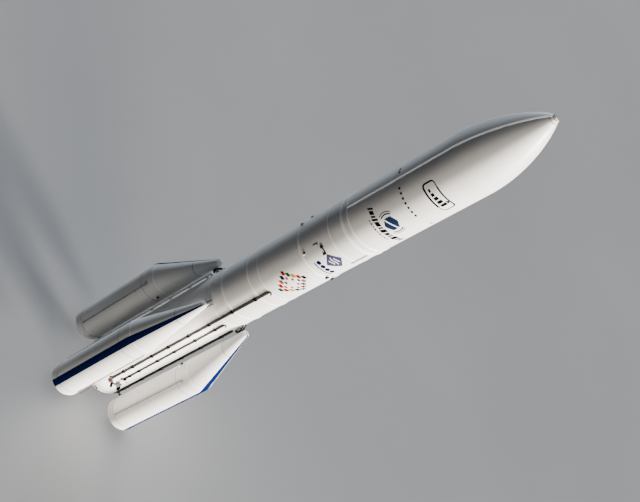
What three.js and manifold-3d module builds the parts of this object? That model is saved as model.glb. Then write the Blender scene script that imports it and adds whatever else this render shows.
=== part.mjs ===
import * as THREE from "three";
import { mergeVertices } from "three/addons/utils/BufferGeometryUtils.js";
import Module from "manifold-3d";

// Space rocket with four side boosters, as a 1:2 scale model. Units are millimetres.
// +Z points to the nose. The origin is on the core's axis, in the plane of the booster skirts'
// lower rims. The front, -Y, looks between two boosters, at the core's two cable raceways.
// Angles are in degrees round the core's axis, from +X toward +Y.

const M = 500; // one metre of the full-size rocket
const GAP = 0.4; // between neighbours that touch
const RAD = Math.PI / 180;

// Core: an aft skirt, then these sections from bottom to top, each with a lip round its upper edge
const CORE_R = 2.7 * M;
const CORE_SIDES = 40;
const LIP_HEIGHT = 0.1 * M;
const LIP_PROUD = 0.014 * M;
const CORE_SECTIONS = [
  { name: "hydrogen_tank", topZ: 21.94 * M },
  { name: "intertank", topZ: 23.94 * M },
  { name: "oxygen_tank", topZ: 27.72 * M },
  { name: "forward_skirt", topZ: 29.17 * M },
  { name: "interstage", topZ: 34.91 * M },
  { name: "upper_stage_tank", topZ: 38.79 * M },
  { name: "upper_stage_skirt", topZ: 40.59 * M },
  { name: "payload_adapter_ring", topZ: 41.31 * M },
];

// Fairing: a straight wall, then a nose whose radius is CORE_R (1 - u^A)^B, with u from 0 at its base
// to 1 where the curve would end, and a round cap that meets the curve in its own direction
const NOSE_BASE_Z = 53.28 * M;
const NOSE_CAP_Z = 61.326 * M;
const NOSE_CURVE_END_Z = 61.84 * M;
const NOSE_POWER_A = 1.826;
const NOSE_POWER_B = 0.808;
const NOSE_RINGS = 9;
const NOSE_CAP_STEPS = 3;
const FAIRING_SPLIT_DEG = 14.1;

// Boosters, spaced evenly round the core; their nose cones lean toward it
const BOOSTERS = 4;
const FIRST_BOOSTER_DEG = -135;
const BOOSTER_SIDES = 28;
const BOOSTER_AXIS_R = 4.93 * M;
const BOOSTER_R = 1.7 * M;
const BOOSTER_SEAM_Z = 12.15 * M;
const BOOSTER_KINK_Z = 13.5 * M;
const BOOSTER_TIP_Z = 22.1 * M;
const BOOSTER_TIP_AXIS_R = 3.55 * M;
const BOOSTER_TIP_R = 0.36 * M;
const BOOSTER_TIP_ROUND = 0.3 * M;
const BOOSTER_TIP_STEPS = 3;

// Aft skirts: the rim is the lower edge inside the chamfer, the chest the cavity beside the nozzle
const CORE_SKIRT = { sides: CORE_SIDES, radius: CORE_R, rimR: 2.62 * M, chestR: 1.85 * M, topZ: 2.6 * M };
const BOOSTER_SKIRT = { sides: BOOSTER_SIDES, radius: BOOSTER_R, rimR: 1.64 * M, chestR: 1.15 * M, topZ: M };
const RIM_CHAMFER_HEIGHT = 0.05 * M;

// Nozzles hang in a spherical seat, on a ring with two crossed pairs of pins. Radii are from the
// nozzle's axis, except the seat's and its mouth's, which belong to the sphere about the pivot.
const ENGINE = {
  sides: 28,
  pivotZ: 1.95 * M,
  exitZ: -1.45 * M,
  exitR: 1.05 * M,
  throatZ: 0.55 * M,
  throatR: 0.16 * M,
  collarZ: 0.7 * M,
  collarR: 0.42 * M,
  blockBottomZ: 1.0 * M,
  blockTopZ: 1.48 * M,
  blockShoulderZ: 1.56 * M,
  blockR: 0.8 * M,
  wall: 0.045 * M,
  seatR: 2.2 * M,
  mouthR: 1.18 * M,
  swingDeg: 6,
  ringHeight: 0.18 * M,
};
const BOOSTER_NOZZLE = {
  sides: 20,
  pivotZ: 0.62 * M,
  exitZ: -0.85 * M,
  exitR: 1.0 * M,
  throatZ: 0.42 * M,
  throatR: 0.24 * M,
  collarZ: 0.36 * M,
  collarR: 0.42 * M,
  wall: 0.06 * M,
  seatR: 1.023 * M,
  mouthR: 0.86 * M,
  swingDeg: 5.5,
  ringHeight: 0.16 * M,
};
const BELL_POWER = 0.62; // a bell opens as this power of its length
const BELL_SHARES = [0.85, 0.6, 0.3, 0]; // of the bore's length, from its exit, where it has points
const HEAD_ABOVE_PIVOT = 0.12 * M;
const CAVITY_ABOVE_PIVOT = 0.28 * M;
const RING_INNER_R = 0.49 * M;
const RING_OUTER_R = 0.61 * M;
const HOUSING_R = 0.67 * M;
const SHELF_BELOW_RING = 0.1 * M;
const PIN_R = 0.045 * M;
const PIN_HOLE_R = 0.05 * M;
const PIN_SIDES = 8;
const PIN_SEAT = 0.05 * M; // how far a ring's pins reach into the housing
const PIN_END_GAP = 0.03 * M; // from a pin's end to the end of its hole
const OVERRUN = 0.03 * M; // of a pin or a hole into the body that it starts from
const SEAT_GAP = 0.03 * M; // between a nozzle's shield dish and its seat
const SEAT_PLATE = 0.06 * M;
const SEAT_STEP_HEIGHT = 0.02 * M;
const SEAT_MARGIN_DEG = 1;
const SEAT_STEPS = 2;
const SEARCH_STEP_DEG = 0.25;

// Raceways stand on feet along the core, at both ends and at these heights
const LONG_RACEWAY = {
  bottomZ: 3.5 * M,
  topZ: 29.0 * M,
  width: 0.19 * M,
  depth: 0.08 * M,
  feet: [5.64, 7.26, 10.64, 13.5, 16.78, 20.05, 23.65, 27.1],
};
const SHORT_RACEWAY = {
  bottomZ: 4.65 * M,
  topZ: 21.25 * M,
  width: 0.14 * M,
  depth: 0.075 * M,
  feet: [5.59, 7.29, 10.55, 13.42, 16.78, 20.03],
};
const SIDE_RACEWAY = {
  bottomZ: 1.1 * M,
  topZ: 20.6 * M,
  width: 0.3 * M,
  depth: 0.16 * M,
  feet: [2.2, 5.5, 8.9, 12.4, 15.6, 18.9],
};
const RACEWAYS = [
  { name: "raceway_long", angle: -99.3, form: LONG_RACEWAY },
  { name: "raceway_short", angle: -82.5, form: SHORT_RACEWAY },
  { name: "raceway_side", angle: -51.3, form: SIDE_RACEWAY },
  { name: "raceway_back", angle: 80, form: LONG_RACEWAY },
];
const RACEWAY_STANDOFF = 0.02 * M;
const FOOT_LENGTH = 0.16 * M;

// Round pipes outside the core, each through points given as [distance from the core's axis, height]
const FEED_LINE_POINTS = [
  [2.73, 0.7],
  [2.82, 0.7],
  [2.91, 0.76],
  [2.95, 0.86],
  [2.95, 20.9],
  [2.91, 21.0],
  [2.82, 21.06],
  [2.73, 21.06],
];
const VENT_PIPE_POINTS = [
  [2.73, 0.5],
  [2.82, 0.5],
  [2.88, 0.46],
  [2.91, 0.38],
  [2.91, -2.1],
];
const PIPES = [
  { name: "feed_line", angle: 149, radius: 0.11 * M, points: FEED_LINE_POINTS },
  { name: "vent_pipe", angle: -104, radius: 0.06 * M, points: VENT_PIPE_POINTS },
];
const PIPE_SIDES = 8;

// Lugs that carry the boosters' thrust: heights of their corners at the core and at the nose cone
const FORWARD_FITTING = {
  width: 0.36 * M,
  coreLowZ: 20.85 * M,
  coreHighZ: 22.2 * M,
  noseLowZ: 20.95 * M,
  noseHighZ: 21.6 * M,
};

// Crossed tie rods between the skirts, seen from above: half their span, and each rod's own width
const AFT_FITTING = { lowZ: 0.64 * M, height: 0.32 * M, half: 0.3 * M, rod: 0.16 * M };

const wasm = await Module();
wasm.setup();

const MATERIALS = {
  white: new THREE.MeshStandardMaterial({ color: 0xe4e0d8, roughness: 0.45, metalness: 0.0 }),
  dark: new THREE.MeshStandardMaterial({ color: 0x2a211c, roughness: 0.6, metalness: 0.1 }),
  metal: new THREE.MeshStandardMaterial({ color: 0x8c8a86, roughness: 0.4, metalness: 0.8 }),
  black: new THREE.MeshStandardMaterial({ color: 0x1b1b1d, roughness: 0.7, metalness: 0.0 }),
};

const rocket = new THREE.Group();

function addMesh(name, geometry, paint, parent = rocket) {
  const mesh = new THREE.Mesh(geometry, MATERIALS[paint]);
  mesh.name = name;
  parent.add(mesh);
  return mesh;
}

// A body of revolution about Z, from [radius, height] points that run up its outside
function turned(points, sides) {
  const profile = points.map(([r, z]) => new THREE.Vector2(r, z));
  return new THREE.LatheGeometry(profile, sides).rotateX(Math.PI / 2);
}

function solidFrom(geometry) {
  const plain = geometry.index ? geometry.toNonIndexed() : geometry.clone();
  plain.deleteAttribute("normal");
  plain.deleteAttribute("uv");
  const merged = mergeVertices(plain, 1e-3);
  return new wasm.Manifold(
    new wasm.Mesh({
      numProp: 3,
      vertProperties: merged.attributes.position.array,
      triVerts: new Uint32Array(merged.index.array),
    }),
  );
}

function geometryFrom(solid) {
  const mesh = solid.getMesh();
  const geometry = new THREE.BufferGeometry();
  geometry.setAttribute("position", new THREE.BufferAttribute(mesh.vertProperties, 3));
  geometry.setIndex(new THREE.BufferAttribute(mesh.triVerts, 1));
  return geometry;
}

// A closed outline of [x, y] points, extruded along Z
function extruded(outline, depth) {
  const shape = new THREE.Shape(outline.map(([x, y]) => new THREE.Vector2(x, y)));
  return new THREE.ExtrudeGeometry(shape, { depth, bevelEnabled: false });
}

// A point of a circle about [0, centreZ], at an angle from straight down
function arcPoint(centreZ, radius, deg) {
  return [radius * Math.sin(deg * RAD), centreZ - radius * Math.cos(deg * RAD)];
}

function arcPoints(centreZ, radius, fromDeg, toDeg, steps) {
  return Array.from({ length: steps + 1 }, (unused, i) =>
    arcPoint(centreZ, radius, fromDeg + ((toDeg - fromDeg) * i) / steps),
  );
}

// Core sections

let sectionBottomZ = CORE_SKIRT.topZ;
for (const { name, topZ } of CORE_SECTIONS) {
  const edgeZ = topZ - GAP;
  const profile = [
    [0, sectionBottomZ],
    [CORE_R, sectionBottomZ],
    [CORE_R, edgeZ - LIP_HEIGHT],
    [CORE_R + LIP_PROUD, edgeZ - LIP_HEIGHT],
    [CORE_R + LIP_PROUD, edgeZ],
    [0, edgeZ],
  ];
  addMesh(name, turned(profile, CORE_SIDES), "white");
  sectionBottomZ = topZ;
}
const fairingBaseZ = sectionBottomZ;

// Fairing

// The nose's outline, from its base to its tip
function noseProfile() {
  const length = NOSE_CURVE_END_Z - NOSE_BASE_Z;
  const capU = (NOSE_CAP_Z - NOSE_BASE_Z) / length;
  const radiusAt = (u) => CORE_R * Math.pow(1 - Math.pow(u, NOSE_POWER_A), NOSE_POWER_B);
  const curve = Array.from({ length: NOSE_RINGS }, (unused, i) => {
    const u = capU * Math.sin((i / NOSE_RINGS) * (Math.PI / 2));
    return [radiusAt(u), NOSE_BASE_Z + length * u];
  });
  // The cap's centre is where the normal at the end of the curve meets the axis
  const capR = radiusAt(capU);
  const slope =
    ((-CORE_R / length) *
      NOSE_POWER_A *
      NOSE_POWER_B *
      Math.pow(capU, NOSE_POWER_A - 1)) /
    Math.pow(1 - Math.pow(capU, NOSE_POWER_A), 1 - NOSE_POWER_B);
  const centreZ = NOSE_CAP_Z + capR * slope;
  const ball = capR * Math.hypot(1, slope);
  const startDeg = Math.atan2(capR, centreZ - NOSE_CAP_Z) / RAD;
  const cap = arcPoints(centreZ, ball, startDeg, 180, NOSE_CAP_STEPS).slice(0, -1);
  return [...curve, ...cap, [0, centreZ + ball]];
}

const fairing = solidFrom(turned([[0, fairingBaseZ], [CORE_R, fairingBaseZ], ...noseProfile()], CORE_SIDES));
for (const [name, side] of [["fairing_half_a", 1], ["fairing_half_b", -1]]) {
  const span = 4 * CORE_R;
  const half = new THREE.BoxGeometry(span, span, NOSE_CURVE_END_Z);
  half.translate(0, side * (span / 2 + GAP / 2), NOSE_CURVE_END_Z / 2);
  half.rotateZ(FAIRING_SPLIT_DEG * RAD);
  addMesh(name, geometryFrom(fairing.intersect(solidFrom(half))), "white");
}

// Nozzles and aft skirts

// Two pins on one axis through the pivot, from one radius to the other; axis is "x" or "y"
function pinPair(nozzle, radius, from, to, axis) {
  return [1, -1].map((side) => {
    const pin = new THREE.CylinderGeometry(radius, radius, to - from, PIN_SIDES);
    const middle = (side * (from + to)) / 2;
    if (axis === "x") {
      pin.rotateZ(Math.PI / 2);
      return solidFrom(pin.translate(middle, 0, nozzle.pivotZ));
    }
    return solidFrom(pin.translate(0, middle, nozzle.pivotZ));
  });
}

// The seat's opening angle, and how far the shield dish reaches so that it stays closed when it swings
function seatAngles(nozzle) {
  const mouth = Math.asin(nozzle.mouthR / nozzle.seatR) / RAD;
  const dishEnd = mouth + nozzle.swingDeg * Math.SQRT2 + SEAT_MARGIN_DEG;
  return { mouth, dishEnd };
}

function bellRadius(nozzle, z) {
  const u = (nozzle.throatZ - z) / (nozzle.throatZ - nozzle.exitZ);
  return nozzle.throatR + (nozzle.exitR - nozzle.throatR) * Math.pow(u, BELL_POWER);
}

// The angle where a sphere about the pivot dips into the bell's outside, found from an angle outside it
function bellDipAngle(nozzle, radius, fromDeg) {
  let deg = fromDeg;
  let [r, z] = arcPoint(nozzle.pivotZ, radius, deg);
  while (r > bellRadius(nozzle, z) + nozzle.wall) {
    deg -= SEARCH_STEP_DEG;
    [r, z] = arcPoint(nozzle.pivotZ, radius, deg);
  }
  return deg;
}

// One closed profile: throat, bore, exit lip, outer bell, shield dish and back, collar
function nozzleGeometry(nozzle, topZ) {
  const { mouth, dishEnd } = seatAngles(nozzle);
  const dishInnerR = nozzle.seatR - nozzle.wall;
  const lowerRoot = bellDipAngle(nozzle, nozzle.seatR, mouth);
  const upperRoot = bellDipAngle(nozzle, dishInnerR, mouth) + SEARCH_STEP_DEG;
  const bore = BELL_SHARES.map((share) => {
    const z = nozzle.exitZ + (nozzle.throatZ - nozzle.exitZ) * share;
    return [bellRadius(nozzle, z), z];
  });
  const middleZ = (nozzle.exitZ + arcPoint(nozzle.pivotZ, nozzle.seatR, lowerRoot)[1]) / 2;
  const profile = [
    [0, nozzle.throatZ],
    [nozzle.throatR, nozzle.throatZ],
    ...bore,
    [nozzle.exitR + nozzle.wall, nozzle.exitZ],
    [bellRadius(nozzle, middleZ) + nozzle.wall, middleZ],
    ...arcPoints(nozzle.pivotZ, nozzle.seatR, lowerRoot, dishEnd, SEAT_STEPS),
    ...arcPoints(nozzle.pivotZ, dishInnerR, dishEnd, upperRoot, SEAT_STEPS),
    [nozzle.collarR, nozzle.collarZ],
    [nozzle.collarR, topZ],
    [0, topZ],
  ];
  return turned(profile, nozzle.sides);
}

// The ring of a nozzle's mounting: pins along X reach into the housing, holes along Y take the nozzle's
function ringGeometry(nozzle) {
  const low = nozzle.pivotZ - nozzle.ringHeight / 2;
  const high = nozzle.pivotZ + nozzle.ringHeight / 2;
  const profile = [
    [RING_INNER_R, low],
    [RING_OUTER_R, low],
    [RING_OUTER_R, high],
    [RING_INNER_R, high],
    [RING_INNER_R, low],
  ];
  let ring = solidFrom(turned(profile, nozzle.sides));
  for (const pin of pinPair(nozzle, PIN_R, RING_OUTER_R - OVERRUN, HOUSING_R + PIN_SEAT, "x")) {
    ring = ring.add(pin);
  }
  for (const hole of pinPair(nozzle, PIN_HOLE_R, RING_INNER_R - OVERRUN, RING_OUTER_R + OVERRUN, "y")) {
    ring = ring.subtract(hole);
  }
  return geometryFrom(ring);
}

function withPins(nozzle, geometry) {
  let solid = solidFrom(geometry);
  for (const pin of pinPair(nozzle, PIN_R, nozzle.collarR - OVERRUN, RING_OUTER_R - PIN_END_GAP, "y")) {
    solid = solid.add(pin);
  }
  return geometryFrom(solid);
}

// A skirt with the nozzle's spherical seat and cavity cut from below, and holes for the ring's pins
function skirtGeometry(nozzle, { sides, radius, rimR, chestR, topZ }) {
  const { mouth, dishEnd } = seatAngles(nozzle);
  const seatR = nozzle.seatR + SEAT_GAP;
  const cavityZ = nozzle.pivotZ + CAVITY_ABOVE_PIVOT;
  const shelfZ = nozzle.pivotZ - nozzle.ringHeight / 2 - SHELF_BELOW_RING;
  const seatEndZ = arcPoint(nozzle.pivotZ, seatR, dishEnd + 2 * SEAT_MARGIN_DEG)[1];
  const profile = [
    [0, cavityZ],
    [HOUSING_R, cavityZ],
    [HOUSING_R, shelfZ],
    [chestR, shelfZ],
    [chestR, Math.min(seatEndZ + SEAT_STEP_HEIGHT, shelfZ - SEAT_STEP_HEIGHT)],
    ...arcPoints(nozzle.pivotZ, seatR, dishEnd + SEAT_MARGIN_DEG, mouth, SEAT_STEPS),
    [(seatR + SEAT_PLATE) * Math.sin(mouth * RAD), 0],
    [rimR, 0],
    [radius, RIM_CHAMFER_HEIGHT],
    [radius, topZ - LIP_HEIGHT],
    [radius + LIP_PROUD, topZ - LIP_HEIGHT],
    [radius + LIP_PROUD, topZ - GAP],
    [0, topZ - GAP],
  ];
  let skirt = solidFrom(turned(profile, sides));
  const holeEndR = HOUSING_R + PIN_SEAT + PIN_END_GAP;
  for (const hole of pinPair(nozzle, PIN_HOLE_R, HOUSING_R - OVERRUN, holeEndR, "x")) {
    skirt = skirt.subtract(hole);
  }
  return geometryFrom(skirt);
}

addMesh("core_aft_skirt", skirtGeometry(ENGINE, CORE_SKIRT), "white");
addMesh("engine_ring", ringGeometry(ENGINE), "metal");
addMesh("engine_nozzle", nozzleGeometry(ENGINE, ENGINE.blockBottomZ - GAP), "metal");
const engineBlockProfile = [
  [0, ENGINE.blockBottomZ],
  [ENGINE.blockR, ENGINE.blockBottomZ],
  [ENGINE.blockR, ENGINE.blockTopZ],
  [ENGINE.collarR, ENGINE.blockShoulderZ],
  [ENGINE.collarR, ENGINE.pivotZ + HEAD_ABOVE_PIVOT],
  [0, ENGINE.pivotZ + HEAD_ABOVE_PIVOT],
];
addMesh("engine_block", withPins(ENGINE, turned(engineBlockProfile, ENGINE.sides)), "metal");

// Raceways and pipes on the core

function racewayGeometry({ bottomZ, topZ, width, depth, feet }) {
  const seatR = CORE_R + LIP_PROUD + GAP;
  const innerR = CORE_R + RACEWAY_STANDOFF;
  const outerR = innerR + depth;
  const half = FOOT_LENGTH / 2;
  const middles = [bottomZ + half, ...feet.map((z) => z * M), topZ - half];
  const underside = middles.flatMap((z) => [
    [z - half, innerR],
    [z - half, seatR],
    [z + half, seatR],
    [z + half, innerR],
  ]);
  const outline = [[bottomZ, outerR], ...underside, [topZ, outerR - depth / 2], [topZ - depth, outerR]];
  // The outline's x is the height and its y the radius
  const basis = new THREE.Matrix4().makeBasis(
    new THREE.Vector3(0, 0, 1),
    new THREE.Vector3(1, 0, 0),
    new THREE.Vector3(0, 1, 0),
  );
  return extruded(outline, width).translate(0, 0, -width / 2).applyMatrix4(basis);
}

for (const { name, angle, form } of RACEWAYS) {
  const raceway = addMesh(name, racewayGeometry(form), "dark");
  raceway.rotation.z = angle * RAD;
}

// A pipe in the plane of the core's axis: a ring of vertices square to the path at each point
function pipeGeometry({ radius, points }) {
  const path = points.map(([r, z]) => new THREE.Vector3(r * M, 0, z * M));
  const last = path.length - 1;
  const positions = [];
  path.forEach((point, i) => {
    const before = path[Math.max(0, i - 1)];
    const after = path[Math.min(last, i + 1)];
    const along = after.clone().sub(before).normalize();
    const outward = new THREE.Vector3(along.z, 0, -along.x);
    for (let j = 0; j < PIPE_SIDES; j++) {
      const a = (2 * Math.PI * j) / PIPE_SIDES;
      const vertex = point.clone().addScaledVector(outward, radius * Math.cos(a));
      positions.push(vertex.x, radius * Math.sin(a), vertex.z);
    }
  });
  const index = [];
  const at = (i, j) => i * PIPE_SIDES + (j % PIPE_SIDES);
  for (let j = 0; j < PIPE_SIDES; j++) {
    for (let i = 0; i < last; i++) {
      index.push(at(i, j), at(i, j + 1), at(i + 1, j + 1));
      index.push(at(i, j), at(i + 1, j + 1), at(i + 1, j));
    }
  }
  for (let j = 2; j < PIPE_SIDES; j++) {
    index.push(at(0, 0), at(0, j), at(0, j - 1));
    index.push(at(last, 0), at(last, j - 1), at(last, j));
  }
  const tube = new THREE.BufferGeometry();
  tube.setAttribute("position", new THREE.Float32BufferAttribute(positions, 3));
  tube.setIndex(index);
  return tube;
}

for (const pipe of PIPES) {
  const tube = addMesh(pipe.name, pipeGeometry(pipe), "white");
  tube.rotation.z = pipe.angle * RAD;
}

// Boosters, each built about its own axis with the core on its -X side

// Circles whose centres lean toward the core while their radii shrink, and a round tip
function slantedConeGeometry() {
  const levels = [{ z: BOOSTER_KINK_Z + GAP, x: 0, r: BOOSTER_R }];
  for (let i = 0; i < BOOSTER_TIP_STEPS; i++) {
    const a = (i / BOOSTER_TIP_STEPS) * (Math.PI / 2);
    levels.push({
      z: BOOSTER_TIP_Z - BOOSTER_TIP_ROUND * (1 - Math.sin(a)),
      x: BOOSTER_TIP_AXIS_R - BOOSTER_AXIS_R,
      r: BOOSTER_TIP_R * Math.cos(a),
    });
  }
  const positions = [0, 0, levels[0].z];
  for (const { z, x, r } of levels) {
    for (let j = 0; j < BOOSTER_SIDES; j++) {
      const a = (2 * Math.PI * j) / BOOSTER_SIDES;
      positions.push(x + r * Math.cos(a), r * Math.sin(a), z);
    }
  }
  positions.push(BOOSTER_TIP_AXIS_R - BOOSTER_AXIS_R, 0, BOOSTER_TIP_Z);
  const index = [];
  const ring = (i, j) => 1 + i * BOOSTER_SIDES + (j % BOOSTER_SIDES);
  const top = positions.length / 3 - 1;
  const last = levels.length - 1;
  for (let j = 0; j < BOOSTER_SIDES; j++) {
    index.push(0, ring(0, j + 1), ring(0, j));
    index.push(top, ring(last, j), ring(last, j + 1));
    for (let i = 0; i < last; i++) {
      index.push(ring(i, j), ring(i, j + 1), ring(i + 1, j + 1));
      index.push(ring(i, j), ring(i + 1, j + 1), ring(i + 1, j));
    }
  }
  const cone = new THREE.BufferGeometry();
  cone.setAttribute("position", new THREE.Float32BufferAttribute(positions, 3));
  cone.setIndex(index);
  return cone;
}

const boosterCaseProfile = [
  [0, BOOSTER_SKIRT.topZ],
  [BOOSTER_R, BOOSTER_SKIRT.topZ],
  [BOOSTER_R, BOOSTER_SEAM_Z - LIP_HEIGHT / 2],
  [BOOSTER_R + LIP_PROUD, BOOSTER_SEAM_Z - LIP_HEIGHT / 2],
  [BOOSTER_R + LIP_PROUD, BOOSTER_SEAM_Z + LIP_HEIGHT / 2],
  [BOOSTER_R, BOOSTER_SEAM_Z + LIP_HEIGHT / 2],
  [BOOSTER_R, BOOSTER_KINK_Z],
  [0, BOOSTER_KINK_Z],
];
const fittingInnerX = CORE_R + LIP_PROUD + GAP - BOOSTER_AXIS_R;

function forwardFittingGeometry({ width, coreLowZ, coreHighZ, noseLowZ, noseHighZ }) {
  const outerX = BOOSTER_TIP_AXIS_R - BOOSTER_TIP_R - GAP - BOOSTER_AXIS_R;
  const outline = [
    [fittingInnerX, coreLowZ],
    [outerX, noseLowZ],
    [outerX, noseHighZ],
    [fittingInnerX, coreHighZ],
  ];
  return extruded(outline, width).translate(0, 0, -width / 2).rotateX(Math.PI / 2);
}

// Two rods that cross in the middle of the gap between the skirts, as one outline
function aftFittingGeometry({ lowZ, height, half, rod }) {
  const outerX = -BOOSTER_R - LIP_PROUD - GAP;
  const middleX = (fittingInnerX + outerX) / 2;
  const notch = (outerX - fittingInnerX) * ((half - rod) / (2 * half - rod));
  const outline = [
    [fittingInnerX, -half],
    [middleX, -rod / 2],
    [outerX, -half],
    [outerX, rod - half],
    [outerX - notch, 0],
    [outerX, half - rod],
    [outerX, half],
    [middleX, rod / 2],
    [fittingInnerX, half],
    [fittingInnerX, half - rod],
    [fittingInnerX + notch, 0],
    [fittingInnerX, rod - half],
  ];
  return extruded(outline, height).translate(0, 0, lowZ);
}

for (let i = 0; i < BOOSTERS; i++) {
  const booster = new THREE.Group();
  const angle = (FIRST_BOOSTER_DEG + (360 / BOOSTERS) * i) * RAD;
  booster.position.set(BOOSTER_AXIS_R * Math.cos(angle), BOOSTER_AXIS_R * Math.sin(angle), 0);
  booster.rotation.z = angle;
  rocket.add(booster);
  const nozzle = nozzleGeometry(BOOSTER_NOZZLE, BOOSTER_NOZZLE.pivotZ + HEAD_ABOVE_PIVOT);
  const pieces = [
    { name: "aft_skirt", geometry: skirtGeometry(BOOSTER_NOZZLE, BOOSTER_SKIRT), paint: "white" },
    { name: "case", geometry: turned(boosterCaseProfile, BOOSTER_SIDES), paint: "white" },
    { name: "nose_cone", geometry: slantedConeGeometry(), paint: "white" },
    { name: "forward_fitting", geometry: forwardFittingGeometry(FORWARD_FITTING), paint: "black" },
    { name: "aft_fitting", geometry: aftFittingGeometry(AFT_FITTING), paint: "black" },
    { name: "bearing_ring", geometry: ringGeometry(BOOSTER_NOZZLE), paint: "metal" },
    { name: "nozzle", geometry: withPins(BOOSTER_NOZZLE, nozzle), paint: "black" },
  ];
  for (const { name, geometry, paint } of pieces) {
    addMesh(`booster_${i + 1}_${name}`, geometry, paint, booster);
  }
}

export default rocket;
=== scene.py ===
import math

import bpy
import numpy as np
from mathutils import Matrix, Vector


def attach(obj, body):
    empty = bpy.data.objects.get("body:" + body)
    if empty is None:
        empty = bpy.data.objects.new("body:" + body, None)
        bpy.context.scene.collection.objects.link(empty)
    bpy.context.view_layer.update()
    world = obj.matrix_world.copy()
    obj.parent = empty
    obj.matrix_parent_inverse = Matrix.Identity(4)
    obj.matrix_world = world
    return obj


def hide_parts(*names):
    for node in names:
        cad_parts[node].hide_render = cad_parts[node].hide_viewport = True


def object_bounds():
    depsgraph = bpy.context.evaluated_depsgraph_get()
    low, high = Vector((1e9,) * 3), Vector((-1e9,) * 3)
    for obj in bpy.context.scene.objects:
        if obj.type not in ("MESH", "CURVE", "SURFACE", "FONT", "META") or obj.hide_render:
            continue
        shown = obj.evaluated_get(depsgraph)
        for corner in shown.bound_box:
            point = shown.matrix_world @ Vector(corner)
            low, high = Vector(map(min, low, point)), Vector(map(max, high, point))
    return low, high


# A space rocket with four side boosters, dressed around its 1:2 scale frame.
# Sizes and places are in metres of the full-size rocket, from its base plane, and M scales them to the frame.
# Angles are in degrees round the core's axis: -90 looks to the front. "Outboard" is away from the core.

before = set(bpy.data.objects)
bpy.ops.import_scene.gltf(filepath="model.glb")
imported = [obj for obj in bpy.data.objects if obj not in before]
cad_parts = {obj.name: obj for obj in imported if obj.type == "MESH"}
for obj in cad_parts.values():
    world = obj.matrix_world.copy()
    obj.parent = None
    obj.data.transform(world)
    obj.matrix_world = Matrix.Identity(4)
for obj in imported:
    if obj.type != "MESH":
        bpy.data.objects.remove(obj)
cad_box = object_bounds()

M = 0.5
TAU = 2 * math.pi

# Driving sizes
CORE_R = 2.7
CORE_SIDES = 256
SECTIONS = {  # core section: lower edge, upper edge, welds inside it
    "hydrogen_tank": (2.6, 21.94, 7),
    "intertank": (21.94, 23.94, 0),
    "oxygen_tank": (23.94, 27.72, 2),
    "forward_skirt": (27.72, 29.17, 0),
    "interstage": (29.17, 34.91, 0),
    "upper_stage_tank": (34.91, 38.79, 0),
    "upper_stage_skirt": (38.79, 40.59, 0),
    "payload_adapter_ring": (40.59, 41.31, 0),
}
SEAM_BEADS = {  # height of the bead's middle: its width, how proud it is
    2.55: (0.12, 0.02), 21.88: (0.16, 0.03), 23.88: (0.26, 0.045), 27.66: (0.24, 0.035), 29.11: (0.13, 0.02),
    34.84: (0.22, 0.045), 38.73: (0.14, 0.025), 40.44: (0.38, 0.05), 41.22: (0.2, 0.04),
}
FAIRING_BASE = 41.31
NOSE_BASE = 53.28
NOSE_TIP = 61.84
NOSE_POWERS = (1.826, 0.808)
NOSE_CAP = 61.326  # where the round cap takes over from the nose's curve
FAIRING_SPLIT = 14.1
PLUG_ROW = -7  # the row of the nose's profile, on the cap, that carries the plugs
VENT_ANGLES = [-147.8, -138.6, -129.4, -120.2, -111.0, -101.8, -92.6, -56.5,
               172.9, 180.0, 32.2, 41.4, 50.6, 59.8, 69.0]
VENT_HEIGHT = 47.48
BOOSTER_SIDES = 144
BOOSTER_AXIS = 4.93
BOOSTER_R = 1.7
BOOSTER_KINK = 13.5
BOOSTER_TIP = 22.1
BOOSTER_TIP_AXIS = 3.55
BOOSTER_TIP_R = 0.36
BOOSTER_TIP_ROUND = 0.3
BOOSTER_ANGLES = {1: -135.0, 2: -45.0, 3: 45.0, 4: 135.0}
NAVY_BAND = (4.2, 12.3)  # its middle, from outboard, and its half width
NAVY_BANDS = {1: NAVY_BAND, 2: (2.0, 17.8), 3: NAVY_BAND, 4: NAVY_BAND}
ENGINE = dict(pivot=1.95, exit=-1.45, exit_r=1.05, throat=0.55, throat_r=0.16, wall=0.045, seat=2.2,
              mouth=1.18, swing=6.0)
BOOSTER_NOZZLE = dict(pivot=0.62, exit=-0.85, exit_r=1.0, throat=0.42, throat_r=0.24, wall=0.06, seat=1.023,
                      mouth=0.86, swing=5.5)
LONG_RACEWAY = (3.5, 29.0, 0.26, 0.08, (5.64, 7.26, 10.64, 13.5, 16.78, 20.05, 23.65, 27.1))
RACEWAYS = {  # name: angle, lower end, upper end, width, depth, heights of its clamps
    "long": (-99.3, *LONG_RACEWAY),
    "short": (-82.5, 4.65, 21.25, 0.25, 0.075, (5.59, 7.29, 10.55, 13.42, 16.78, 20.03)),
    "side": (-51.3, 1.1, 20.6, 0.36, 0.16, (2.2, 5.5, 8.9, 12.4, 15.6, 18.9)),
    "back": (80.0, *LONG_RACEWAY),
}
RACEWAY_FLANK = 88.0  # of a booster's raceways from its outboard side
FEED_ANGLE = 149.0
VENT_PIPE_ANGLE = -104.0
CLEAR = 0.001  # kept between neighbours that touch
STANDOFF = 0.02  # of a raceway's cover from the wall
SUNK = -0.01  # where a fitting or a painted shape starts behind the wall's face
INK = 0.003  # how proud of the wall a painted shape stands
STEP = 0.06  # of the points that carry a painted shape round the wall
SHARP = 32  # faces that meet at more than this angle share a hard edge
TINY = 1e-6
ON_WALL = [[0, 0, 1], [1, 0, 0], [0, 1, 0]]  # turns a part's Z outward, its X round the wall, its Y up
SIDEWAYS = [[0, -1, 0], [1, 0, 0], [0, 0, 1]]  # turns a part's X round the wall

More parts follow.
